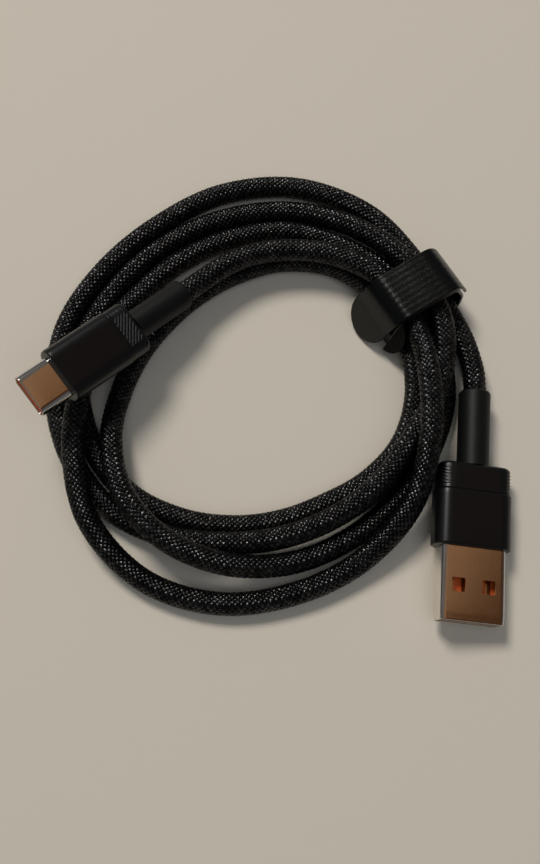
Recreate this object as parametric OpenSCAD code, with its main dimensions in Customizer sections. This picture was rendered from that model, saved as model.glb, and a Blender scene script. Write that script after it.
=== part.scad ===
// Charging cable: USB-A plug, braided cord wound in a coil, USB-C plug, hook-and-loop tie.
// Millimetres. +Z is up from the table; the origin is on the table, under the middle of the
// two plugs and the tie.

/* [Cable] */
// Outside diameter over the braid
cable_d = 4.4; // [3.5:0.1:5]
// Thickness of the braid
braid_t = 0.35; // [0.2:0.05:0.5]
// Thickness of the jacket under the braid
jacket_t = 0.2; // [0.15:0.05:0.4]
// Diameter of one insulated wire
wire_d = 1.1; // [0.8:0.1:1.3]

/* [USB-A plug] */
// Width of the steel shell
a_shell_w = 12.0; // [11.8:0.1:12.1]
// Thickness of the steel shell
a_shell_t = 4.5; // [4.4:0.1:4.6]
// Length of shell in front of the housing
a_shell_out = 13.4; // [12:0.1:15]
// Sheet thickness of the shell
a_sheet = 0.3; // [0.2:0.05:0.4]
// Width of the housing
a_body_w = 14.5; // [13.5:0.1:16]
// Thickness of the housing
a_body_t = 6.5; // [6:0.1:7.5]
// Length of the housing with its rear collar
a_body_len = 15.5; // [13:0.5:20]
// Diameter of the strain relief
a_relief_d = 6.0; // [5.5:0.1:7]
// Length of the strain relief
a_relief_len = 14.8; // [10:0.1:18]
// How far the plug is rolled on the table, degrees
a_roll = -11; // [-15:1:15]

/* [USB-C plug] */
// Width of the shell
c_shell_w = 8.34; // [8.3:0.01:8.4]
// Thickness of the shell
c_shell_t = 2.56; // [2.5:0.01:2.6]
// Length of shell in front of the housing
c_shell_out = 6.65; // [6.5:0.05:7]
// Sheet thickness of the shell
c_sheet = 0.2; // [0.15:0.05:0.3]
// Width of the housing
c_body_w = 10.8; // [10:0.1:12]
// Thickness of the housing
c_body_t = 6.0; // [5:0.1:6.5]
// Length of the housing with its rear collar
c_body_len = 17.5; // [16:0.5:22]
// Diameter of the strain relief
c_relief_d = 5.8; // [5.5:0.1:7]
// Length of the strain relief
c_relief_len = 12.5; // [10:0.1:16]
// How far the plug's nose points up, degrees
c_pitch = 14; // [0:1:20]

/* [Tie] */
// Width of the strap
tie_w = 10; // [8:0.5:14]
// Thickness of the strap
tie_t = 0.7; // [0.5:0.05:1]
// Diameter of the rounded pull tab
tab_d = 10; // [8:0.5:12]

/* [Hidden] */
$fn = 48;

// Where the coil and the plugs lie on the table
coil_at = [-2.0, 8.35];
a_at = [39.4, 7.75, 4.15];
a_yaw = -95;
c_at = [-16.4, 26.7, 8.0];
c_yaw = -137;
c_roll = -20;
tie_angle = 32;
tie_r = 36.3;

// The hand-laid turns, from the USB-A plug: radius and height every 20 degrees round the coil.
// The bundle rises by the strap's thickness at 20 and 40 degrees, where the tie holds it.
step_deg = 20;
turn_r = [
    [0, 41.2, 41.6, 44.6, 45.4, 43.9, 41.4, 40.4, 40.3, 39.1, 37.7, 35.8, 32.8, 30.3, 29.1, 28.8, 29.4, 30.6],
    [34.4, 37.7, 38.9, 39.9, 39.8, 38.2, 36.8, 35.9, 35.7, 34.6, 33.1, 31.2, 28.6, 26.6, 25.5, 25.4, 27.1, 29.2],
    [30.4, 31.0, 31.2, 30.9, 28.5, 25.7, 24.0, 23.5, 24.4, 26.4, 29.2, 32.2, 34.0, 34.4, 33.8, 33.2, 33.4, 34.6],
    [36.1, 36.1, 36.0, 35.6, 35.2, 33.4, 32.0, 31.4, 31.9, 33.2, 36.3, 40.2, 41.7, 41.0, 39.2, 37.9, 36.5, 33.6],
    [31.9, 32.4, 33.0, 31.2, 28.7, 26.2]];
turn_z = [
    [0, 2.9, 2.9, 2.2, 2.2, 2.2, 2.2, 2.2, 2.2, 2.2, 2.2, 2.3, 4.0, 4.7, 5.1, 5.4, 5.9, 6.4],
    [6.6, 7.1, 6.6, 3.8, 2.2, 2.2, 2.2, 2.2, 2.2, 2.2, 2.2, 2.2, 2.2, 2.2, 2.2, 2.2, 2.2, 2.2],
    [2.4, 2.9, 2.9, 2.2, 2.2, 2.2, 2.2, 2.2, 2.2, 2.4, 5.2, 7.2, 8.6, 7.0, 3.6, 2.2, 2.2, 2.2],
    [2.3, 2.9, 2.9, 2.2, 2.2, 2.2, 2.2, 2.4, 4.6, 6.8, 7.0, 5.2, 2.5, 2.2, 2.2, 2.8, 6.2, 9.9],
    [10.6, 7.4, 6.8, 6.7, 6.6, 7.0]];

function on_coil(r, a, z) = [coil_at[0] + r * cos(a), coil_at[1] + r * sin(a), z];
function a_point(s) = a_at + s * [cos(a_yaw), sin(a_yaw), 0];
function c_point(s) = c_at + s * [cos(c_yaw) * cos(c_pitch), sin(c_yaw) * cos(c_pitch), sin(c_pitch)];

a_cable_in = a_relief_len - 1.8;
c_cable_in = c_relief_len - 1.8;
a_board_x = 17.5;
c_board_x = 17;
coil_points = concat([on_coil(41.6, 8, 3.5)],
    [for (k = [0:4]) for (i = [0:len(turn_r[k]) - 1]) if (k + i > 0) on_coil(turn_r[k][i], step_deg * i, turn_z[k][i])]);
cord_path = concat([a_point(a_cable_in), a_point(0)], coil_points, [c_point(0), c_point(c_cable_in)]);
wire_path = concat([a_point(a_board_x), a_point(0)], coil_points, [c_point(0), c_point(c_board_x)]);

function unit(v) = v / norm(v);
function heading(p, i) = unit(p[min(i + 1, len(p) - 1)] - p[max(i - 1, 0)]);
function aside(p, i) = unit(cross(heading(p, i), [0, 0, 1]));
function above(p, i) = cross(aside(p, i), heading(p, i));
function ring(p, i, r, n, off) = [for (k = [0:n - 1])
    p[i] + (off[0] + r * cos(360 * (k + 0.5) / n)) * aside(p, i)
         + (off[1] + r * sin(360 * (k + 0.5) / n)) * above(p, i)];
function rings(p, r, n, off) = [for (i = [0:len(p) - 1]) each ring(p, i, r, n, off)];
// Side walls of a swept tube; out is true for a wall that faces outwards
function walls(m, n, base, out) = [for (i = [0:m - 2]) for (k = [0:n - 1])
    let (a = base + i * n + k, b = base + i * n + (k + 1) % n)
    each (out ? [[a, a + n, b], [b, a + n, b + n]] : [[a, b, a + n], [b, b + n, a + n]])];

module rod(p, r, n, off) {
    m = len(p);
    polyhedron(points = rings(p, r, n, off),
        faces = concat(walls(m, n, 0, true), [[for (k = [0:n - 1]) k]],
            [[for (k = [n - 1:-1:0]) (m - 1) * n + k]]), convexity = 20);
}

module tube(p, r_out, r_in, n) {
    m = len(p);
    inner = m * n;
    last = (m - 1) * n;
    polyhedron(points = concat(rings(p, r_out, n, [0, 0]), rings(p, r_in, n, [0, 0])),
        faces = concat(walls(m, n, 0, true), walls(m, n, inner, false),
            [for (k = [0:n - 1]) each [[k, (k + 1) % n, inner + k],
                [(k + 1) % n, inner + (k + 1) % n, inner + k]]],
            [for (k = [0:n - 1]) each [[last + k, inner + last + k, last + (k + 1) % n],
                [last + (k + 1) % n, inner + last + k, inner + last + (k + 1) % n]]]),
        convexity = 20);
}

// A block along +X with rounded long edges
module rounded_bar(x0, x1, w, t, r) {
    translate([x0, 0, 0])
    rotate([90, 0, 90])
    linear_extrude(x1 - x0)
    union() {
        square([w - 2 * r, t], center = true);
        square([w, t - 2 * r], center = true);
        for (sx = [-1, 1]) {
            for (sy = [-1, 1]) {
                translate([sx * (w / 2 - r), sy * (t / 2 - r)]) circle(r);
            }
        }
    }
}

module box(x0, x1, y0, y1, z0, z1) {
    translate([x0, y0, z0]) cube([x1 - x0, y1 - y0, z1 - z0]);
}

module bore(x0, x1, r) {
    translate([x0, 0, 0]) rotate([0, 90, 0]) cylinder(h = x1 - x0, r = r);
}

module place_a() {
    translate(a_at) rotate([0, 0, a_yaw]) rotate([a_roll, 0, 0]) children();
}

module place_c() {
    translate(c_at) rotate([0, 0, c_yaw]) rotate([0, -c_pitch, 0]) rotate([c_roll, 0, 0]) children();
}

// USB-A plug, laid along +X from the end of its strain relief
a_body_x0 = a_relief_len;
a_body_x1 = a_relief_len + a_body_len;
a_collar_x1 = a_body_x0 + 5.2;
a_nose_x = a_body_x1 + a_shell_out;
a_shell_x0 = 23.5;
a_cavity_x0 = 16.2;
a_block_x0 = 26.5;
a_block_x1 = 31.4;
a_board_x1 = 25.8;
a_board_top = -0.15;
contact_top = 0.06;

module usb_a_shell() {
    color("silver") place_a() difference() {
        rounded_bar(a_shell_x0, a_nose_x, a_shell_w, a_shell_t, 0.6);
        rounded_bar(a_shell_x0 - 1, a_nose_x + 1, a_shell_w - 2 * a_sheet, a_shell_t - 2 * a_sheet, 0.3);
        for (y = [-2.84, 2.84]) {
            box(a_nose_x - 7.65, a_nose_x - 5.15, y - 1.25, y + 1.25, -5, 5);
        }
    }
}

module a_contact_slots(clear) {
    for (y = [-3.5, -1, 1, 3.5]) {
        box(a_block_x0 - 2.4, a_nose_x - 2.4, y - 0.5 - clear, y + 0.5 + clear, a_board_top, contact_top + clear);
    }
}

module usb_a_tongue() {
    color("orange") place_a() difference() {
        union() {
            box(a_block_x0, a_block_x1, -5.65, 5.65, -1.9, 1.9);
            box(a_block_x1 - 0.1, a_nose_x - 0.9, -5.55, 5.55, -1.9, 0);
        }
        a_contact_slots(0.02);
    }
}

module a_contact(y, x1) {
    color("gold") place_a() box(a_block_x0 - 2.4, x1, y - 0.5, y + 0.5, a_board_top, contact_top);
}

module usb_a_contact_power() {
    a_contact(-3.5, a_nose_x - 2.4);
}

module usb_a_contact_data_minus() {
    a_contact(-1, a_nose_x - 3.4);
}

module usb_a_contact_data_plus() {
    a_contact(1, a_nose_x - 3.4);
}

module usb_a_contact_ground() {
    a_contact(3.5, a_nose_x - 2.4);
}

module usb_a_circuit_board() {
    color("green") place_a() box(a_board_x, a_board_x1, -5.2, 5.2, a_board_top - 0.8, a_board_top);
}

module usb_a_resistor() {
    color("black") place_a() box(20, 21.6, 1.5, 2.3, a_board_top, a_board_top + 0.5);
}

module usb_a_inner_mould() {
    color("white") place_a() difference() {
        rounded_bar(a_cavity_x0, a_shell_x0, 12.2, 4.7, 0.6);
        bore(a_cavity_x0 - 1, a_board_x, 1.6);
        box(a_board_x, a_board_x1, -5.2, 5.2, a_board_top - 0.8, a_board_top);
        box(20, 21.6, 1.5, 2.3, -1, a_board_top + 0.5);
    }
}

module a_cavity() {
    rounded_bar(a_cavity_x0, a_body_x1 + 1, 12.2, 4.7, 0.6);
    bore(a_body_x0 - 1, a_cavity_x0 + 1, 1.6);
}

module usb_a_housing() {
    color("dimgray") place_a() difference() {
        rounded_bar(a_collar_x1, a_body_x1, a_body_w, a_body_t, 2.5);
        a_cavity();
    }
}

module usb_a_rear_collar() {
    color("gray") place_a() difference() {
        rounded_bar(a_body_x0, a_collar_x1, a_body_w - 0.5, a_body_t - 0.3, 2.4);
        a_cavity();
        for (i = [0:4]) {
            for (s = [-1, 1]) {
                box(a_body_x0 + 0.6 + 0.9 * i, a_body_x0 + 1.05 + 0.9 * i, s * 6.9 - 0.2, s * 6.9 + 0.2, -5, 5);
            }
        }
    }
}

module usb_a_strain_relief() {
    color("darkslategray") place_a() difference() {
        bore(0, a_relief_len, a_relief_d / 2);
        bore(-1, a_cable_in, cable_d / 2 + 0.05);
        bore(0, a_relief_len + 1, 1.6);
    }
}

// USB-C plug, laid along +X from the end of its strain relief
c_body_x0 = c_relief_len;
c_body_x1 = c_relief_len + c_body_len;
c_collar_x1 = c_body_x0 + 4.2;
c_nose_x = c_body_x1 + c_shell_out;
c_shell_x0 = c_body_x1 - 7;
c_cavity_x0 = 14;
c_board_x1 = c_shell_x0 + 1;
c_inner_w = c_shell_w - 2 * c_sheet;
c_inner_t = c_shell_t - 2 * c_sheet;

module usb_c_shell() {
    color("silver") place_c() difference() {
        rounded_bar(c_shell_x0, c_nose_x, c_shell_w, c_shell_t, c_shell_t / 2 - 0.01);
        rounded_bar(c_shell_x0 - 1, c_nose_x + 1, c_inner_w, c_inner_t, c_inner_t / 2 - 0.01);
    }
}

module c_contact_row(s) {
    for (i = [0:11]) {
        translate([0, -2.875 + 0.5 * i, 0])
        box(c_board_x1 - 1.6, c_nose_x - 0.8, 0, 0.25, s > 0 ? 0.3 : -0.5, s > 0 ? 0.5 : -0.3);
    }
}

module c_latch_shape() {
    for (s = [-1, 1]) {
        box(c_board_x1 + 1.6, c_nose_x - 0.7, s * 3.5 - 0.1, s * 3.5 + 0.1, -0.2, 0.2);
    }
    box(c_board_x1 + 1.6, c_board_x1 + 2.2, -3.6, 3.6, -0.1, 0.1);
}

module c_spring_shape() {
    for (z = [-0.97, 0.97]) {
        box(c_body_x1 - 2, c_body_x1 + 4, -2.9, 2.9, z - 0.05, z + 0.05);
    }
}

module usb_c_insulator() {
    color("orange") place_c() difference() {
        rounded_bar(c_shell_x0 + 1.2, c_nose_x - 0.3, c_inner_w - 0.06, c_inner_t - 0.06, (c_inner_t - 0.06) / 2 - 0.01);
        box(c_body_x1, c_nose_x + 1, -3.4, 3.4, -0.42, 0.42);
        c_contact_row(1);
        c_contact_row(-1);
        c_latch_shape();
        c_spring_shape();
    }
}

module usb_c_contacts_upper() {
    color("gold") place_c() c_contact_row(1);
}

module usb_c_contacts_lower() {
    color("gold") place_c() c_contact_row(-1);
}

module usb_c_latch() {
    color("silver") place_c() c_latch_shape();
}

module usb_c_ground_springs() {
    color("silver") place_c() c_spring_shape();
}

module usb_c_circuit_board() {
    color("green") place_c() box(c_board_x, c_board_x1, -3.5, 3.5, -0.3, 0.3);
}

module usb_c_chip() {
    color("black") place_c() box(c_board_x + 1.8, c_board_x + 3.8, -1, 1, 0.3, 0.9);
}

module usb_c_inner_mould() {
    color("white") place_c() difference() {
        rounded_bar(c_cavity_x0, c_shell_x0, c_shell_w + 0.2, c_shell_t + 1.2, 1.2);
        bore(c_cavity_x0 - 1, c_board_x, 1.6);
        box(c_board_x, c_board_x1, -3.5, 3.5, -0.3, 0.3);
        box(c_board_x + 1.8, c_board_x + 3.8, -1, 1, 0, 0.9);
        c_contact_row(1);
        c_contact_row(-1);
    }
}

module c_cavity() {
    rounded_bar(c_cavity_x0, c_shell_x0, c_shell_w + 0.2, c_shell_t + 1.2, 1.2);
    rounded_bar(c_shell_x0 - 0.1, c_body_x1 + 1, c_shell_w, c_shell_t, c_shell_t / 2 - 0.01);
    bore(c_body_x0 - 1, c_cavity_x0 + 1, 1.6);
}

module usb_c_housing() {
    color("dimgray") place_c() difference() {
        rounded_bar(c_collar_x1, c_body_x1, c_body_w, c_body_t, 2.4);
        c_cavity();
    }
}

module usb_c_rear_collar() {
    color("gray") place_c() difference() {
        rounded_bar(c_body_x0, c_collar_x1, c_body_w - 0.4, c_body_t - 0.3, 2.3);
        c_cavity();
        for (i = [0:5]) {
            for (s = [-1, 1]) {
                box(c_body_x0 + 0.6 + 0.6 * i, c_body_x0 + 0.9 + 0.6 * i, -6, 6, s * 2.9 - 0.2, s * 2.9 + 0.2);
            }
        }
    }
}

module usb_c_strain_relief() {
    color("darkslategray") place_c() difference() {
        bore(0, c_relief_len, c_relief_d / 2);
        bore(-1, c_cable_in, cable_d / 2 + 0.05);
        bore(0, c_relief_len + 1, 1.6);
    }
}

// The cord
module cable_braid() {
    color("black") tube(cord_path, cable_d / 2, cable_d / 2 - braid_t, 8);
}

jacket_r = cable_d / 2 - braid_t - 0.05;
wire_off = 0.62;

module cable_jacket() {
    color("dimgray") tube(cord_path, jacket_r, jacket_r - jacket_t, 8);
}

module power_wire() {
    color("red") rod(wire_path, wire_d / 2, 6, [wire_off, wire_off]);
}

module ground_wire() {
    color("black") rod(wire_path, wire_d / 2, 6, [-wire_off, wire_off]);
}

module data_plus_wire() {
    color("green") rod(wire_path, wire_d / 2, 6, [wire_off, -wire_off]);
}

module data_minus_wire() {
    color("white") rod(wire_path, wire_d / 2, 6, [-wire_off, -wire_off]);
}

// The tie: drawn across the bundle, [outwards, up], and extruded along it
tie_top = 10.3;
tie_inside = [[-7.9, tie_t], [7.4, tie_t], [7.6, 1.2], [7.6, 4.2], [7.2, 5.6], [5.6, 8.8], [4.9, 9.6],
    [-5.7, 9.6], [-6.5, 8.8], [-7.9, 5.6], [-8.3, 4.2], [-8.3, 1.2]];
tie_outside = [[-8.3, 0], [7.8, 0], [8.3, 0.7], [8.4, 4.3], [7.9, 5.9], [6.3, 9.2], [5.3, tie_top],
    [-6.0, tie_top], [-7.2, 9.2], [-8.6, 5.9], [-9.0, 4.3], [-8.9, 0.7]];

module place_tie() {
    translate([coil_at[0], coil_at[1], 0])
    rotate([0, 0, tie_angle])
    translate([tie_r, 0, 0])
    children();
}

module tie_slice(w, points) {
    translate([0, w / 2, 0]) rotate([90, 0, 0]) linear_extrude(w) polygon(points);
}

module tie_band() {
    color("black") place_tie() difference() {
        tie_slice(tie_w, tie_outside);
        tie_slice(tie_w + 2, tie_inside);
    }
}

flap_z = tie_top + 0.4;

module tie_hook_pad() {
    color("dimgray") place_tie() box(-4.6, 3.4, -tie_w / 2 + 0.6, tie_w / 2 - 0.6, tie_top + 0.2, flap_z);
}

module tie_flap() {
    color("black") place_tie() box(-5.5, 4.8, -tie_w / 2, tie_w / 2, flap_z, flap_z + tie_t);
}

module tie_pull_strip() {
    color("black") place_tie()
    tie_slice(tie_w, [[-6.3, flap_z + tie_t], [-6.3, flap_z], [-7.5, 9.5], [-8.95, 6.1], [-9.2, 5.42],
        [-9.9, 5.82], [-9.65, 6.4], [-8.1, 9.9]]);
}

// The rounded pull tab leans away from the bundle
module tie_pull_tab() {
    color("gray") place_tie()
    translate([-9.2, tab_y, 5.4])
    rotate([0, tab_lean, 0])
    difference() {
        union() {
            translate([-tie_t, 0, -0.8]) rotate([0, 90, 0]) cylinder(h = tie_t, d = tab_d);
            box(-tie_t, 0, -tab_d / 2, tab_d / 2, -0.8, 0);
        }
        box(-tie_t - 1, 1, -tab_d, tab_d, 0, tab_d);
    }
}

tab_y = 0.8;
tab_lean = 30;

// The strap's other end, a rounded head that shows past the band's edge
module tie_head() {
    color("black") place_tie()
    difference() {
        translate([-8.6, -3.6, 5.4])
        rotate([0, 24, 0])
        translate([-tie_t / 2, 0, 0])
        rotate([0, 90, 0])
        cylinder(h = tie_t, d = tab_d - 1);
        box(-20, 5, -tie_w / 2, 20, -5, 20);
    }
}

usb_a_shell();
usb_a_tongue();
usb_a_contact_power();
usb_a_contact_data_minus();
usb_a_contact_data_plus();
usb_a_contact_ground();
usb_a_circuit_board();
usb_a_resistor();
usb_a_inner_mould();
usb_a_housing();
usb_a_rear_collar();
usb_a_strain_relief();
usb_c_shell();
usb_c_insulator();
usb_c_contacts_upper();
usb_c_contacts_lower();
usb_c_latch();
usb_c_ground_springs();
usb_c_circuit_board();
usb_c_chip();
usb_c_inner_mould();
usb_c_housing();
usb_c_rear_collar();
usb_c_strain_relief();
cable_braid();
cable_jacket();
power_wire();
ground_wire();
data_plus_wire();
data_minus_wire();
tie_band();
tie_hook_pad();
tie_flap();
tie_pull_strip();
tie_pull_tab();
tie_head();
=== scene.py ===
"""Charging cable: the looks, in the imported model's frame, in metres."""

import math

import bmesh
import bpy
import numpy as np
from mathutils import Matrix, Vector


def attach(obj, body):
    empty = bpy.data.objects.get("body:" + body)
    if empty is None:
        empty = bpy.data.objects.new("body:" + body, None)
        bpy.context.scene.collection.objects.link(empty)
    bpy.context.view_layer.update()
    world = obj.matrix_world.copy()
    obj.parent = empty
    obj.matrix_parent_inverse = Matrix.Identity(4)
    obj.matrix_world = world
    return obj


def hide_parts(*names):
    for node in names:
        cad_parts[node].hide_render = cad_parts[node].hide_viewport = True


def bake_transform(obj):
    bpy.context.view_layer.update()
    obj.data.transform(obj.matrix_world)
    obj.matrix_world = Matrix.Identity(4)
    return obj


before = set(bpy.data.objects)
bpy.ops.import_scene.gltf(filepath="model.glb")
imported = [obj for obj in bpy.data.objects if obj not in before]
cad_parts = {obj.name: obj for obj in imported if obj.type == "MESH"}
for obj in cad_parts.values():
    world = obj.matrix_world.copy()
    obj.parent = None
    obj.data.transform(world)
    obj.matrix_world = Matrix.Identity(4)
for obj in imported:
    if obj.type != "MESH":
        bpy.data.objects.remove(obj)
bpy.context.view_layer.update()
MM = 0.001

# --- Places, as in part.scad (millimetres, degrees) ---
COIL_AT = (-2.0, 8.35)
A_AT, A_YAW, A_ROLL = (39.4, 7.75, 4.15), -95, -11
C_AT, C_YAW, C_PITCH, C_ROLL = (-16.4, 26.7, 8.0), -137, 14, -20
TIE_ANGLE, TIE_R = 32, 36.3


def rot(degrees, axis):
    return Matrix.Rotation(math.radians(degrees), 4, axis)


A_PLACE = Matrix.Translation(A_AT) @ rot(A_YAW, "Z") @ rot(A_ROLL, "X")
C_PLACE = Matrix.Translation(C_AT) @ rot(C_YAW, "Z") @ rot(-C_PITCH, "Y") @ rot(C_ROLL, "X")
TIE_PLACE = (
    Matrix.Translation((COIL_AT[0], COIL_AT[1], 0))
    @ rot(TIE_ANGLE, "Z")
    @ Matrix.Translation((TIE_R, 0, 0))
)
WORLD = Matrix.Identity(4)

# --- Camera ---
camera = bpy.data.objects.new("camera", bpy.data.cameras.new("camera"))
bpy.context.scene.collection.objects.link(camera)
camera.location = (0.0003, -0.0542, 0.181)
camera.rotation_euler = (math.radians(17), 0, 0)
camera.data.sensor_width = 36
camera.data.lens = 40.83
camera.data.clip_start = 0.005
bpy.context.scene.camera = camera


# --- Material helpers ---
def new_material(name, color, rough, metallic=0.0, specular=0.5):
    mat = bpy.data.materials.new(name)
    mat.use_nodes = True
    shader = mat.node_tree.nodes["Principled BSDF"]
    shader.inputs["Base Color"].default_value = (*color, 1)
    shader.inputs["Roughness"].default_value = rough
    shader.inputs["Metallic"].default_value = metallic
    shader.inputs["Specular IOR Level"].default_value = specular
    return mat, mat.node_tree, shader


def calc(tree, operation, a, b=None):
    """The output of a maths node, whose inputs are numbers or other outputs."""
    made = tree.nodes.new("ShaderNodeMath")
    made.operation = operation
    for i, value in enumerate((a, b)):
        if value is None:
            continue
        if isinstance(value, (int, float)):
            made.inputs[i].default_value = value
        else:
            tree.links.new(value, made.inputs[i])
    return made.outputs[0]


def spread(tree, fac, low, high):
    """A value that goes from low to high as fac goes from 0 to 1."""
    made = tree.nodes.new("ShaderNodeMapRange")
    tree.links.new(fac, made.inputs["Value"])
    made.inputs["To Min"].default_value = low
    made.inputs["To Max"].default_value = high
    return made.outputs[0]


def mix_colour(tree, fac, one, two):
    made = tree.nodes.new("ShaderNodeMix")
    made.data_type = "RGBA"
    tree.links.new(fac, made.inputs["Factor"])
    made.inputs["A"].default_value = (*one, 1)
    made.inputs["B"].default_value = (*two, 1)
    return made.outputs["Result"]


def object_noise(tree, scale, detail=3.0, rough=0.55):
    where = tree.nodes.new("ShaderNodeTexCoord")
    noise = tree.nodes.new("ShaderNodeTexNoise")
    noise.inputs["Scale"].default_value = scale
    noise.inputs["Detail"].default_value = detail
    noise.inputs["Roughness"].default_value = rough
    tree.links.new(where.outputs["Object"], noise.inputs["Vector"])
    return noise.outputs["Fac"]


def bump(tree, shader, height, distance, strength=1.0):
    made = tree.nodes.new("ShaderNodeBump")
    made.inputs["Distance"].default_value = distance
    made.inputs["Strength"].default_value = strength
    tree.links.new(height, made.inputs["Height"])
    tree.links.new(made.outputs["Normal"], shader.inputs["Normal"])


def moulded(name, dark, light, rough_low, rough_high, grain, depth, shine=0.5):
    """Moulded plastic: a fine spark grain that changes the gloss, and a slow change of tone."""
    mat, tree, shader = new_material(name, dark, rough_low, specular=shine)
    slow = object_noise(tree, 160, 2)
    tree.links.new(mix_colour(tree, slow, dark, light), shader.inputs["Base Color"])
    fine = object_noise(tree, grain, 4, 0.6)
    tree.links.new(spread(tree, fine, rough_low, rough_high), shader.inputs["Roughness"])
    bump(tree, shader, fine, depth)
    return mat


def metal(name, dark, light, rough_low, rough_high, depth):
    """Plated metal: tone and gloss change slowly together, over a very fine grain."""
    mat, tree, shader = new_material(name, dark, rough_low, metallic=1.0)
    slow = object_noise(tree, 220, 3)
    tree.links.new(mix_colour(tree, slow, dark, light), shader.inputs["Base Color"])
    fine = object_noise(tree, 2600, 3, 0.7)
    tree.links.new(spread(tree, slow, rough_low, rough_high), shader.inputs["Roughness"])
    bump(tree, shader, fine, depth, 0.4)
    return mat


STEEL = metal("plated_steel", (0.74, 0.69, 0.64), (0.82, 0.78, 0.73), 0.07, 0.16, 0.00001)
GOLD = metal("gold_contact", (0.80, 0.55, 0.20), (0.92, 0.70, 0.34), 0.15, 0.28, 0.00001)
HOUSING = moulded(
    "black_housing", (0.003, 0.003, 0.003), (0.005, 0.0045, 0.005), 0.26, 0.38, 9000, 0.000008, shine=0.4
)
ELASTOMER = moulded(
    "black_elastomer", (0.004, 0.004, 0.004), (0.007, 0.007, 0.0065), 0.42, 0.56, 6000, 0.00002, shine=0.25
)
ORANGE = moulded("orange_plastic", (0.66, 0.10, 0.02), (0.78, 0.15, 0.03), 0.28, 0.4, 5000, 0.00001)
BOARD = moulded("circuit_board", (0.01, 0.09, 0.03), (0.02, 0.14, 0.05), 0.3, 0.5, 4000, 0.00001)
BLACK_CHIP = moulded("component_black", (0.012, 0.012, 0.012), (0.03, 0.03, 0.03), 0.4, 0.6, 8000, 0.00001)
WHITE_MOULD = moulded("white_plastic", (0.66, 0.66, 0.63), (0.78, 0.78, 0.75), 0.4, 0.55, 5000, 0.00001)


# --- Shape helpers ---
def placed(points, place):
    """Points in millimetres, put in place and scaled to metres."""
    turn = np.array(place.to_3x3())
    move = np.array(place.translation)
    return (np.asarray(points) @ turn.T + move) * MM


def add_mesh(name, points, faces, material, body, place=WORLD, uvs=None, sharp=32):
    """A mesh piece from points in millimetres. One with no body is not attached to any body."""
    mesh = bpy.data.meshes.new(name)
    mesh.from_pydata(placed(points, place).tolist(), [], faces)
    if uvs is not None:
        layer = mesh.uv_layers.new(name="along")
        layer.data.foreach_set("uv", np.asarray(uvs, np.float32).ravel())
    mesh.materials.append(material)
    face_outwards(mesh)
    mesh.polygons.foreach_set("use_smooth", [True] * len(mesh.polygons))
    mesh.set_sharp_from_angle(angle=math.radians(sharp))
    mesh.update()
    piece = bpy.data.objects.new(name, mesh)
    bpy.context.scene.collection.objects.link(piece)
    if body is not None:
        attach(piece, body)
    return piece


def face_outwards(mesh):
    work = bmesh.new()
    work.from_mesh(mesh)
    bmesh.ops.recalc_face_normals(work, faces=work.faces)
    work.to_mesh(mesh)
    work.free()


def skin_faces(m, n, looped=False):
    """Quads over m rings of n points, as an array of point numbers."""
    i = np.arange(m if looped else m - 1)[:, None]
    k = np.arange(n)[None, :]
    a, b = i * n + k, i * n + (k + 1) % n
    c, d = ((i + 1) % m) * n + (k + 1) % n, ((i + 1) % m) * n + k
    return np.stack([a, d, c, b], -1).reshape(-1, 4)


def end_caps(m, n):
    """The faces that close the first and last of m rings of n points."""
    return [list(range(n)), [(m - 1) * n + k for k in range(n - 1, -1, -1)]]


def skin_uvs(m, n, lengths):
    """Round each ring from 0 to 1, and along in millimetres."""
    k = np.arange(n)
    u0, u1 = k / n, (k + 1) / n
    v0, v1 = lengths[:-1, None], lengths[1:, None]
    ones = np.ones((m - 1, 1))
    quads = np.stack(
        [
            np.stack([ones * u0, v0 + 0 * u0], -1),
            np.stack([ones * u0, v1 + 0 * u0], -1),
            np.stack([ones * u1, v1 + 0 * u1], -1),
            np.stack([ones * u1, v0 + 0 * u1], -1),
        ],
        2,
    )
    return quads.reshape(-1, 2)


def rings_piece(name, rings, material, body, place=WORLD, looped=False, sharp=32):
    """A skin over rings of points, which either loops round or has its two ends capped."""
    m, n = rings.shape[:2]
    faces = skin_faces(m, n, looped).tolist()
    if not looped:
        faces += end_caps(m, n)
    return add_mesh(name, rings.reshape(-1, 3), faces, material, body, place, sharp=sharp)


def outline(w, t, r, corner=7, wide=30, tall=6):
    """A rounded rectangle, [across, up], with the normal of each point.

    corner, wide and tall are the numbers of steps in a corner, a wide side and a short side.
    """
    hw, ht = w / 2 - r, t / 2 - r
    points, normals = [], []
    centres = [(hw, ht), (-hw, ht), (-hw, -ht), (hw, -ht)]
    for i, (cx, cz) in enumerate(centres):
        for k in range(corner + 1):
            a = math.radians(90 * i + 90 * k / corner)
            normals.append((math.cos(a), math.sin(a)))
            points.append((cx + r * math.cos(a), cz + r * math.sin(a)))
        a = math.radians(90 * (i + 1))
        nx, nz = centres[(i + 1) % 4]
        end = (nx + r * math.cos(a), nz + r * math.sin(a))
        start = points[-1]
        count = wide if i in (0, 2) else tall
        for k in range(1, count):
            f = k / count
            points.append((start[0] + (end[0] - start[0]) * f, start[1] + (end[1] - start[1]) * f))
            normals.append((math.cos(a), math.sin(a)))
    return np.array(points), np.array(normals)


def bar_rings(sections, push=None, wide=30, tall=6, corner=7):
    """Rings along +X from (x, width, thickness, radius); push moves points outwards."""
    rings = []
    for x, w, t, r in sections:
        p, q = outline(w, t, r, corner, wide, tall)
        if push is not None:
            p = p + q * push(x, p[:, 0], p[:, 1], q)[:, None]
        rings.append(np.column_stack([np.full(len(p), x), p]))
    return np.array(rings)


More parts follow.
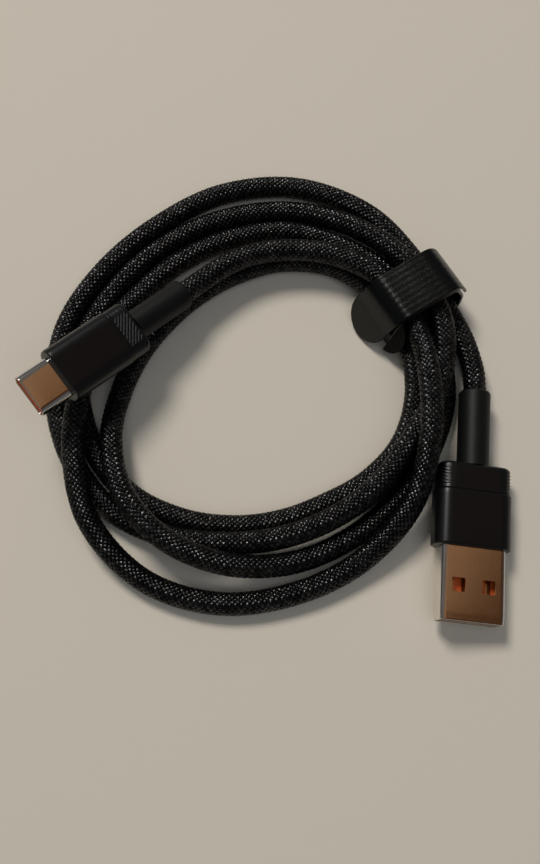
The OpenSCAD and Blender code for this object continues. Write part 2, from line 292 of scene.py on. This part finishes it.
def filleted(x0, x1, w, t, r, f0, f1, step):
    """Sections of a bar whose two ends are rounded by f0 and f1."""
    xs = [x0 + f0 * (1 - math.cos(math.radians(a))) for a in range(0, 90, 15)]
    xs += list(np.arange(x0 + f0, x1 - f1, step))
    xs += [x1 - f1 * (1 - math.cos(math.radians(a))) for a in range(90, -1, -15)]
    made = []
    for x in xs:
        inset = 0.0
        if x < x0 + f0:
            inset = f0 - math.sqrt(max(f0**2 - (x0 + f0 - x) ** 2, 0))
        if x > x1 - f1:
            inset = f1 - math.sqrt(max(f1**2 - (x - x1 + f1) ** 2, 0))
        made.append((x, w - 2 * inset, t - 2 * inset, max(r - inset, 0.05)))
    return made


def curve_through(points, per_span):
    """A smooth curve through the points (Catmull-Rom)."""
    p = np.asarray(points, float)
    q = np.vstack([2 * p[0] - p[1], p, 2 * p[-1] - p[-2]])
    t = (np.arange(per_span) / per_span)[:, None]
    made = []
    for i in range(1, len(q) - 2):
        a, b, c, d = q[i - 1 : i + 3]
        square = (2 * a - 5 * b + 4 * c - d) * t**2
        cube = (3 * b - a - 3 * c + d) * t**3
        made.append(0.5 * (2 * b + (c - a) * t + square + cube))
    return np.vstack(made + [p[-1:]])


def even(points, step):
    """The same line with its points about step apart, and the length at each point."""
    gaps = np.linalg.norm(np.diff(points, axis=0), axis=1)
    s = np.concatenate([[0], np.cumsum(gaps)])
    n = int(round(s[-1] / step))
    at = np.linspace(0, s[-1], n + 1)
    return np.column_stack([np.interp(at, s, points[:, i]) for i in range(points.shape[1])]), at


# --- The cord: the route of part.scad ---
CABLE_D = 4.4
A_RELIEF, C_RELIEF = 14.8, 12.5
# The cord ends inside each strain relief, this far short of the housing
SHORT_OF_END = 1.8

# Radius and height of each turn round the coil's middle, every STEP_DEG degrees, as in part.scad.
# A program worked these tables out from measured points and they were then edited.
STEP_DEG = 20
TURN_R = [
    [
        0, 41.2, 41.6, 44.6, 45.4, 43.9, 41.4, 40.4, 40.3,
        39.1, 37.7, 35.8, 32.8, 30.3, 29.1, 28.8, 29.4, 30.6,
    ],
    [
        34.4, 37.7, 38.9, 39.9, 39.8, 38.2, 36.8, 35.9, 35.7,
        34.6, 33.1, 31.2, 28.6, 26.6, 25.5, 25.4, 27.1, 29.2,
    ],
    [
        30.4, 31.0, 31.2, 30.9, 28.5, 25.7, 24.0, 23.5, 24.4,
        26.4, 29.2, 32.2, 34.0, 34.4, 33.8, 33.2, 33.4, 34.6,
    ],
    [
        36.1, 36.1, 36.0, 35.6, 35.2, 33.4, 32.0, 31.4, 31.9,
        33.2, 36.3, 40.2, 41.7, 41.0, 39.2, 37.9, 36.5, 33.6,
    ],
    [31.9, 32.4, 33.0, 31.2, 28.7, 26.2],
]
TURN_Z = [
    [
        0, 2.9, 2.9, 2.2, 2.2, 2.2, 2.2, 2.2, 2.2,
        2.2, 2.2, 2.3, 4.0, 4.7, 5.1, 5.4, 5.9, 6.4,
    ],
    [
        6.6, 7.1, 6.6, 3.8, 2.2, 2.2, 2.2, 2.2, 2.2,
        2.2, 2.2, 2.2, 2.2, 2.2, 2.2, 2.2, 2.2, 2.2,
    ],
    [
        2.4, 2.9, 2.9, 2.2, 2.2, 2.2, 2.2, 2.2, 2.2,
        2.4, 5.2, 7.2, 8.6, 7.0, 3.6, 2.2, 2.2, 2.2,
    ],
    [
        2.3, 2.9, 2.9, 2.2, 2.2, 2.2, 2.2, 2.4, 4.6,
        6.8, 7.0, 5.2, 2.5, 2.2, 2.2, 2.8, 6.2, 9.9,
    ],
    [10.6, 7.4, 6.8, 6.7, 6.6, 7.0],
]


def on_coil(r, degrees, z):
    a = math.radians(degrees)
    return (COIL_AT[0] + r * math.cos(a), COIL_AT[1] + r * math.sin(a), z)


def in_relief(place, length):
    """Where the cord ends inside a strain relief of that length."""
    return tuple(place @ Vector((length - SHORT_OF_END, 0, 0)))


route = [in_relief(A_PLACE, A_RELIEF), A_AT, on_coil(41.6, 8, 3.5)]
for k, (radii, heights) in enumerate(zip(TURN_R, TURN_Z)):
    for i, (r, z) in enumerate(zip(radii, heights)):
        if k + i > 0:
            route.append(on_coil(r, STEP_DEG * i, z))
route += [C_AT, in_relief(C_PLACE, C_RELIEF)]

RING_STEP = 0.25
ROUTE_STEPS = 24
cord_line, cord_s = even(curve_through(route, ROUTE_STEPS), RING_STEP)


def side_and_up(line):
    """Two directions across the line at each of its points."""
    ahead = np.gradient(line, axis=0)
    ahead /= np.linalg.norm(ahead, axis=1)[:, None]
    side = np.cross(ahead, [0.0, 0.0, 1.0])
    side /= np.linalg.norm(side, axis=1)[:, None]
    return side, np.cross(side, ahead)


# The braid: two families of yarns, each over one and under one, on diagonal cells
YARNS = 12
YARN_PITCH = 1.05
AROUND = 64
BRAID_DEPTH = 0.35


def braid_height(turn, along):
    """Height of the braid from 0 to 1, turn being a fraction of the way round the cord."""
    a = turn * YARNS + along / YARN_PITCH
    b = turn * YARNS - along / YARN_PITCH
    fa, fb = a - np.floor(a), b - np.floor(b)
    over = (np.floor(a) + np.floor(b)) % 2
    across = np.where(over > 0, fa, fb)
    length = np.where(over > 0, fb, fa)
    return np.sqrt(np.clip(1 - (2 * across - 1) ** 2, 0, 1)) * (0.15 + 0.85 * np.sin(np.pi * length))


def braided_rings(line, lengths):
    turn = np.arange(AROUND) / AROUND
    side, up = side_and_up(line)
    height = braid_height(turn[None, :], lengths[:, None])
    radius = CABLE_D / 2 - BRAID_DEPTH + BRAID_DEPTH * height
    angle = 2 * np.pi * turn
    return (
        line[:, None, :]
        + (radius * np.cos(angle))[..., None] * side[:, None, :]
        + (radius * np.sin(angle))[..., None] * up[:, None, :]
    )


THREADS = 5


def braid_material():
    """Shiny filaments: each yarn has its own tone and gloss, by the cell of the braid it shows in."""
    mat, tree, shader = new_material("black_braid", (0.012, 0.012, 0.013), 0.4)
    uv = tree.nodes.new("ShaderNodeUVMap")
    uv.uv_map = "along"
    split = tree.nodes.new("ShaderNodeSeparateXYZ")
    tree.links.new(uv.outputs["UV"], split.inputs["Vector"])
    round_, along = split.outputs["X"], split.outputs["Y"]
    u = calc(tree, "MULTIPLY", round_, YARNS)
    v = calc(tree, "DIVIDE", along, YARN_PITCH)
    a, b = calc(tree, "ADD", u, v), calc(tree, "SUBTRACT", u, v)
    cell = tree.nodes.new("ShaderNodeCombineXYZ")
    tree.links.new(calc(tree, "FLOOR", a), cell.inputs["X"])
    tree.links.new(calc(tree, "FLOOR", b), cell.inputs["Y"])
    random = tree.nodes.new("ShaderNodeTexWhiteNoise")
    random.noise_dimensions = "3D"
    tree.links.new(cell.outputs["Vector"], random.inputs["Vector"])
    number = calc(tree, "ADD", calc(tree, "FLOOR", a), calc(tree, "FLOOR", b))
    over = calc(tree, "MODULO", calc(tree, "ABSOLUTE", number), 2)

    def pick(one, two):
        """One where the first family of yarns is on top, else two."""
        mix = tree.nodes.new("ShaderNodeMix")
        tree.links.new(over, mix.inputs["Factor"])
        tree.links.new(two, mix.inputs["A"])
        tree.links.new(one, mix.inputs["B"])
        return mix.outputs["Result"]

    # The yarn on top: its round section, its rise and fall, and the filaments along it
    fa, fb = calc(tree, "FRACT", a), calc(tree, "FRACT", b)
    across, length = pick(fa, fb), pick(fb, fa)
    middle = calc(tree, "SUBTRACT", calc(tree, "MULTIPLY", across, 2), 1)
    round_yarn = calc(tree, "SUBTRACT", 1, calc(tree, "MULTIPLY", middle, middle))
    rise = calc(tree, "SINE", calc(tree, "MULTIPLY", length, math.pi))
    rise = calc(tree, "ADD", calc(tree, "MULTIPLY", rise, 0.6), 0.4)
    threads = calc(tree, "SINE", calc(tree, "MULTIPLY", across, 2 * math.pi * THREADS))
    height = calc(tree, "MULTIPLY", round_yarn, rise)
    height = calc(tree, "ADD", height, calc(tree, "MULTIPLY", threads, 0.05))
    height = calc(tree, "ADD", height, calc(tree, "MULTIPLY", object_noise(tree, 5200, 3, 0.7), 0.12))
    bump(tree, shader, height, 0.00007)
    luck = calc(tree, "ADD", calc(tree, "MULTIPLY", random.outputs["Value"], 0.9), 0.25)
    glint = calc(tree, "MULTIPLY", height, luck)
    tree.links.new(spread(tree, glint, 0.0, 0.85), shader.inputs["Specular IOR Level"])
    ramp = tree.nodes.new("ShaderNodeValToRGB")
    ramp.color_ramp.elements[0].position = 0.35
    ramp.color_ramp.elements[0].color = (0.0015, 0.0015, 0.0015, 1)
    ramp.color_ramp.elements[1].position = 1.0
    ramp.color_ramp.elements[1].color = (0.006, 0.0055, 0.0055, 1)
    tree.links.new(random.outputs["Value"], ramp.inputs["Fac"])
    tree.links.new(ramp.outputs["Color"], shader.inputs["Base Color"])
    tree.links.new(spread(tree, random.outputs["Value"], 0.30, 0.18), shader.inputs["Roughness"])
    return mat


cord_rings = braided_rings(cord_line, cord_s)
m, n = cord_rings.shape[:2]
cord_uvs = np.vstack([skin_uvs(m, n, cord_s), np.zeros((2 * n, 2))])
cord = add_mesh(
    "braided_cord",
    cord_rings.reshape(-1, 3),
    skin_faces(m, n).tolist() + end_caps(m, n),
    braid_material(),
    "cable",
    uvs=cord_uvs,
    sharp=180,
)
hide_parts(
    "cable_braid",
    "cable_jacket",
    "power_wire",
    "ground_wire",
    "data_plus_wire",
    "data_minus_wire",
)

# --- USB-A plug ---
A_BODY0, A_BODY1 = A_RELIEF, A_RELIEF + 15.5
A_COLLAR1 = A_BODY0 + 5.2
A_NOSE = A_BODY1 + 13.4
WINDOW_SIDE, WINDOW_Y, WINDOW_BACK = 2.5, 2.84, 6.4
# The collar's ribs begin this far from the plug's middle line
A_RIBS_FROM = 4.3


def groove(phase, pitch, depth):
    """A row of rounded ribs: 0 on the crests and -depth in the grooves."""
    wave = 0.5 + 0.5 * np.cos(2 * np.pi * phase / pitch)
    return -depth * (1 - wave**0.6)


def a_collar_push(x, y, z, q):
    """Slanted ribs along the collar's two edges."""
    inside = np.clip((x - A_BODY0 - 0.5) / 0.3, 0, 1) * np.clip((A_COLLAR1 - 0.35 - x) / 0.3, 0, 1)
    edge = np.clip((np.abs(y) - A_RIBS_FROM) / 0.4, 0, 1)
    return groove(x + 0.55 * np.abs(y), 0.62, 0.16) * edge * inside


a_collar = rings_piece(
    "usb_a_collar_ribbed",
    bar_rings(filleted(A_BODY0, A_COLLAR1, 14.0, 6.2, 2.35, 0.9, 0.15, 0.08), a_collar_push, wide=60),
    HOUSING, "cable", A_PLACE,
)
a_housing = rings_piece(
    "usb_a_housing_shell",
    bar_rings(filleted(A_COLLAR1 + 0.02, A_BODY1, 14.5, 6.5, 2.5, 0.25, 0.35, 0.8)),
    HOUSING, "cable", A_PLACE,
)


def shell_rings(x0, nose, w, t, r, sheet, taper):
    """A thin shell: outside forward, round the lip, and back inside."""
    lip = sheet / 2
    inside = (w - 2 * sheet, t - 2 * sheet, max(r - sheet, 0.05))
    outer = [(x, w, t, r) for x in np.linspace(x0, nose - 1.6, 10)]
    outer += [(nose - 1.0, w - 0.3 * taper, t - 0.3 * taper, r), (nose - 0.5, w - taper, t - taper, r)]
    for a in np.linspace(0, 180, 9):
        c, s = math.cos(math.radians(a)), math.sin(math.radians(a))
        inset = lip * (1 - c)
        size = (w - taper - 2 * inset, t - taper - 2 * inset, max(r - inset, 0.05))
        outer.append((nose - lip + lip * s, *size))
    inner = [(nose - 1.6, *inside)]
    inner += [(x, *inside) for x in np.linspace(nose - 2.5, x0, 10)]
    return bar_rings(outer + inner, wide=24, tall=8, corner=8)


a_shell = rings_piece(
    "usb_a_shell_formed",
    shell_rings(23.5, A_NOSE, 12.0, 4.5, 0.6, 0.3, 0.12),
    STEEL, "cable", A_PLACE, looped=True,
)


def cut(piece, cutter):
    """Cuts cutter out of piece and drops the cutter."""
    made = piece.modifiers.new("cut", "BOOLEAN")
    made.operation = "DIFFERENCE"
    made.solver = "EXACT"
    made.object = cutter
    bpy.context.view_layer.update()
    graph = bpy.context.evaluated_depsgraph_get()
    mesh = bpy.data.meshes.new_from_object(piece.evaluated_get(graph))
    piece.modifiers.clear()
    piece.data = mesh
    mesh.polygons.foreach_set("use_smooth", [True] * len(mesh.polygons))
    mesh.set_sharp_from_angle(angle=math.radians(30))
    bpy.data.objects.remove(cutter)


def cutter(name, rings, place):
    m, n = rings.shape[:2]
    mesh = bpy.data.meshes.new(name)
    points = placed(rings.reshape(-1, 3), place)
    mesh.from_pydata(points.tolist(), [], skin_faces(m, n).tolist() + end_caps(m, n))
    face_outwards(mesh)
    made = bpy.data.objects.new(name, mesh)
    bpy.context.scene.collection.objects.link(made)
    return made


# The latch windows, through both wide sides
for number, y in enumerate((-WINDOW_Y, WINDOW_Y)):
    p, _ = outline(WINDOW_SIDE, WINDOW_SIDE, 0.25, 5, 2, 2)
    x = p[:, 0] + A_NOSE - WINDOW_BACK
    window = np.array([np.column_stack([x, p[:, 1] + y, np.full(len(p), z)]) for z in (-4, 4)])
    cut(a_shell, cutter(f"window_{number}", window, A_PLACE))
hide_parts("usb_a_shell")


def relief(name, length, d, place):
    """A strain relief: a plain sleeve, rounded off where the cord leaves it."""
    a = np.linspace(0, 2 * np.pi, 64, endpoint=False)
    rings = []
    for x in np.concatenate([np.linspace(0, 0.6, 8), np.linspace(0.8, length - 0.3, 30), [length]]):
        r = d / 2
        if x < 0.6:
            r = d / 2 - 0.6 + math.sqrt(max(0.36 - (0.6 - x) ** 2, 0))
        rings.append(np.column_stack([np.full(len(a), x), r * np.cos(a), r * np.sin(a)]))
    return rings_piece(name, np.array(rings), ELASTOMER, "cable", place)


a_relief = relief("usb_a_relief_sleeve", A_RELIEF + 0.1, 6.0, A_PLACE)
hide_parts("usb_a_strain_relief")
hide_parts("usb_a_housing")
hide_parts("usb_a_rear_collar")

# --- USB-C plug ---
C_BODY0, C_BODY1 = C_RELIEF, C_RELIEF + 17.5
C_COLLAR1 = C_BODY0 + 4.2
C_NOSE = C_BODY1 + 6.65


def c_collar_push(x, y, z, q):
    """Diagonal ribs across the collar's two wide faces."""
    inside = np.clip((x - C_BODY0 - 0.5) / 0.3, 0, 1) * np.clip((C_COLLAR1 - 0.3 - x) / 0.3, 0, 1)
    face = np.clip((np.abs(q[:, 1]) - 0.5) / 0.2, 0, 1)
    return groove(0.788 * x - 0.616 * y, 0.56, 0.15) * face * inside


c_collar = rings_piece(
    "usb_c_collar_ribbed",
    bar_rings(filleted(C_BODY0, C_COLLAR1, 10.45, 5.75, 2.25, 0.8, 0.12, 0.07), c_collar_push, wide=70),
    HOUSING, "cable", C_PLACE,
)
c_housing = rings_piece(
    "usb_c_housing_shell",
    bar_rings(filleted(C_COLLAR1 + 0.02, C_BODY1, 10.8, 6.0, 2.4, 0.2, 0.35, 0.8)),
    HOUSING, "cable", C_PLACE,
)
c_shell = rings_piece(
    "usb_c_shell_drawn",
    shell_rings(C_BODY1 - 7, C_NOSE, 8.34, 2.56, 1.27, 0.2, 0.04),
    STEEL, "cable", C_PLACE, looped=True,
)
c_relief = relief("usb_c_relief_sleeve", C_RELIEF + 0.1, 5.8, C_PLACE)
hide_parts("usb_c_rear_collar")
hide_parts("usb_c_housing")
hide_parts("usb_c_shell")
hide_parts("usb_c_strain_relief")

# --- CAD nodes that stay, with their materials ---
def repaint(name, material):
    kept = bpy.data.objects[name]
    kept.data.materials.clear()
    kept.data.materials.append(material)


for name, material in {
    "usb_a_tongue": ORANGE,
    "usb_a_contact_power": GOLD,
    "usb_a_contact_data_minus": GOLD,
    "usb_a_contact_data_plus": GOLD,
    "usb_a_contact_ground": GOLD,
    "usb_a_circuit_board": BOARD,
    "usb_a_resistor": BLACK_CHIP,
    "usb_a_inner_mould": WHITE_MOULD,
    "usb_c_insulator": ORANGE,
    "usb_c_contacts_upper": GOLD,
    "usb_c_contacts_lower": GOLD,
    "usb_c_latch": STEEL,
    "usb_c_ground_springs": STEEL,
    "usb_c_circuit_board": BOARD,
    "usb_c_chip": BLACK_CHIP,
    "usb_c_inner_mould": WHITE_MOULD,
}.items():
    repaint(name, material)

# --- The tie ---
TIE_W, TIE_T = 10, 0.7
DRAWN_T = TIE_T - 0.05
RIB, RIB_PITCH = 0.008, 1.2
LINE_STEP = 0.3


def fabric(name, dark, light, rough, grain, shine=0.24):
    """A close woven tape: a soft nap and a slow change of tone."""
    mat, tree, shader = new_material(name, dark, rough, specular=shine)
    slow = object_noise(tree, 300, 3)
    tree.links.new(mix_colour(tree, slow, dark, light), shader.inputs["Base Color"])
    fine = object_noise(tree, grain, 4, 0.7)
    tree.links.new(spread(tree, fine, rough - 0.08, rough + 0.12), shader.inputs["Roughness"])
    bump(tree, shader, fine, 0.00005, 0.6)
    return mat


TAPE = fabric("tie_tape", (0.0012, 0.0014, 0.0014), (0.003, 0.0032, 0.003), 0.22, 5200, shine=0.3)
TAPE_BACK = fabric("tie_tape_back", (0.001, 0.001, 0.001), (0.002, 0.002, 0.002), 0.5, 5200, shine=0.08)
TAB = fabric("tie_tab_soft", (0.022, 0.021, 0.018), (0.030, 0.029, 0.025), 0.66, 3500)
HOOKS = fabric("tie_hooks", (0.05, 0.05, 0.052), (0.09, 0.09, 0.092), 0.55, 9000)


def tape(name, line, width, thick, material, body, shift=None, looped=False):
    """A ribbed strip whose middle follows line, [outwards, up], in the tie's own place."""
    line = np.asarray(line)
    ahead = np.roll(line, -1, 0) - np.roll(line, 1, 0) if looped else np.gradient(line, axis=0)
    ahead /= np.linalg.norm(ahead, axis=1)[:, None]
    out = np.column_stack([-ahead[:, 1], ahead[:, 0]])
    rings = []
    for i, (x, z) in enumerate(line):
        w = width[i] if hasattr(width, "__len__") else width
        r = min(0.26, w / 3)
        p, q = outline(w, thick, r, 4, 84, 2)
        rib = RIB * np.cos(2 * np.pi * p[:, 0] / RIB_PITCH) * np.abs(q[:, 1])
        y = p[:, 0] + (0 if shift is None else shift[i])
        lift = p[:, 1] + rib * np.sign(p[:, 1])
        rings.append(np.column_stack([x + out[i, 0] * lift, y, z + out[i, 1] * lift]))
    return rings_piece(name, np.array(rings), material, body, TIE_PLACE, looped=looped, sharp=60)


band_points = [
    (-8.3, 0.42), (-4, 0.38), (0, 0.38), (4, 0.38), (7.3, 0.42), (7.9, 1.0), (8.0, 2.6), (7.95, 4.3),
    (7.5, 5.8), (6.0, 9.0), (5.1, 9.9), (3.5, 9.95), (0, 9.95), (-4, 9.95), (-5.9, 9.9), (-6.9, 9.0),
    (-8.2, 5.8), (-8.65, 4.2), (-8.65, 2.4), (-8.6, 1.1),
]
# Three laps, of which the middle one is kept, so that the loop closes smoothly
LAP_STEPS = 6
loop = curve_through(band_points * 3, LAP_STEPS)
loop = loop[len(band_points) * LAP_STEPS : 2 * len(band_points) * LAP_STEPS]
band = tape("tie_band_woven", loop, TIE_W, DRAWN_T, TAPE, "cable", looped=True)
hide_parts("tie_band")

flap_points = [
    (8.3, 6.4), (7.6, 8.0), (6.7, 9.5), (5.6, 10.6), (4.2, 11.05),
    (2, 11.1), (0, 11.1), (-2.6, 11.05), (-5.2, 11.05),
]
flap_line, _ = even(curve_through(flap_points, 8), LINE_STEP)
flap = tape("tie_flap_woven", flap_line, TIE_W, DRAWN_T, TAPE, None)
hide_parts("tie_flap")


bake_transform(flap)

pull_points = [
    (-4.9, 11.05), (-6.0, 10.95), (-7.1, 10.3), (-8.2, 8.9), (-9.3, 6.2), (-9.75, 5.1), (-10.3, 4.0),
]
pull_line, _ = even(curve_through(pull_points, 8), LINE_STEP)
# The pull narrows and drifts sideways as it comes down, towards the tab
TAB_Y = 0.8
ease = np.clip((11 - pull_line[:, 1]) / 6, 0, 1)
pull_width = TIE_W - 0.4 * ease
pull = tape("tie_pull_woven", pull_line, pull_width, DRAWN_T, TAPE, None, shift=TAB_Y * ease)
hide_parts("tie_pull_strip")
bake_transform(pull)


def rounded_end(name, material, body, at, lean, thick, d, straight):
    """A flat tab with a round end that leans away from the bundle by lean degrees."""
    bow = d / 2 * np.sin(np.radians(np.linspace(0, 88, 22)))
    s = np.concatenate([np.linspace(-straight, 0, 5)[:-1], bow])
    w = np.where(s > 0, 2 * np.sqrt(np.clip((d / 2) ** 2 - s**2, 0.01, None)), d)
    down = np.array([-math.sin(math.radians(lean)), -math.cos(math.radians(lean))])
    line = np.array([at[0], at[2]]) + s[:, None] * down
    return tape(name, line, w, thick, material, body, shift=np.full(len(s), at[1]))


tab = rounded_end(
    "tie_tab_soft", TAB, "tie_pull_body",
    at=(-10.0, TAB_Y, 4.8), lean=30, thick=0.66, d=10.0, straight=1.2,
)
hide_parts("tie_pull_tab")
repaint("tie_hook_pad", HOOKS)
repaint("tie_head", TAPE_BACK)

# --- Floor and light ---
floor_mesh = bpy.data.meshes.new("floor")
FLOOR = 1.5
corners = [(-FLOOR, -FLOOR, 0), (FLOOR, -FLOOR, 0), (FLOOR, FLOOR, 0), (-FLOOR, FLOOR, 0)]
floor_mesh.from_pydata(corners, [], [(0, 1, 2, 3)])
floor = bpy.data.objects.new("floor", floor_mesh)
bpy.context.scene.collection.objects.link(floor)
floor_mat, floor_tree, floor_shader = new_material("pale_table", (0.745, 0.67, 0.555), 0.8)
floor_mesh.materials.append(floor_mat)


def area_light(name, toward, distance, size, power, colour):
    """A round lamp that hangs in that direction from the origin and faces it."""
    data = bpy.data.lights.new(name, "AREA")
    data.shape = "DISK"
    data.size = size
    data.energy = power
    data.color = colour
    lamp = bpy.data.objects.new(name, data)
    bpy.context.scene.collection.objects.link(lamp)
    way = Vector(toward).normalized()
    lamp.location = way * distance
    lamp.rotation_mode = "QUATERNION"
    lamp.rotation_quaternion = way.to_track_quat("Z", "Y")
    return lamp


area_light("key", (-0.30, 0.50, 0.81), 1.6, 0.52, 13.6, (1.0, 0.98, 0.95))
fill = area_light("fill", (0.2, -0.3, 0.9), 1.3, 1.2, 3.2, (0.72, 0.86, 1.0))
fill.visible_glossy = False

# The room: a dim ceiling with a warm band that the steel mirrors, over dull walls.
# The band is placed for this camera, so from elsewhere the steel looks neutral.
BAND_FROM, BAND_X, BAND_Y = 1.825, 3.37, 1.13
WALLS_TO = 0.5
world = bpy.data.worlds.new("studio")
bpy.context.scene.world = world
world.use_nodes = True
sky = world.node_tree
where = sky.nodes.new("ShaderNodeTexCoord")
parts = sky.nodes.new("ShaderNodeSeparateXYZ")
sky.links.new(where.outputs["Generated"], parts.inputs["Vector"])
across = calc(sky, "SUBTRACT", BAND_FROM, calc(sky, "MULTIPLY", parts.outputs["X"], BAND_X))
across = calc(sky, "ADD", across, calc(sky, "MULTIPLY", parts.outputs["Y"], BAND_Y))
ceiling = sky.nodes.new("ShaderNodeValToRGB")
ceiling.color_ramp.elements[0].color = (0.06, 0.025, 0.01, 1)
ceiling.color_ramp.elements[1].position = 0.5
ceiling.color_ramp.elements[1].color = (0.12, 0.105, 0.095, 1)
ceiling.color_ramp.elements.new(0.25).color = (0.30, 0.16, 0.078, 1)
sky.links.new(across, ceiling.inputs["Fac"])
walls = sky.nodes.new("ShaderNodeMix")
walls.data_type = "RGBA"
above = calc(sky, "MULTIPLY", calc(sky, "SUBTRACT", parts.outputs["Z"], WALLS_TO), 4)
sky.links.new(calc(sky, "MINIMUM", calc(sky, "MAXIMUM", above, 0), 1), walls.inputs["Factor"])
walls.inputs["A"].default_value = (0.085, 0.095, 0.11, 1)
sky.links.new(ceiling.outputs["Color"], walls.inputs["B"])
sky.links.new(walls.outputs["Result"], sky.nodes["Background"].inputs["Color"])
sky.nodes["Background"].inputs["Strength"].default_value = 1.0
bpy.context.scene.view_settings.view_transform = "Standard"
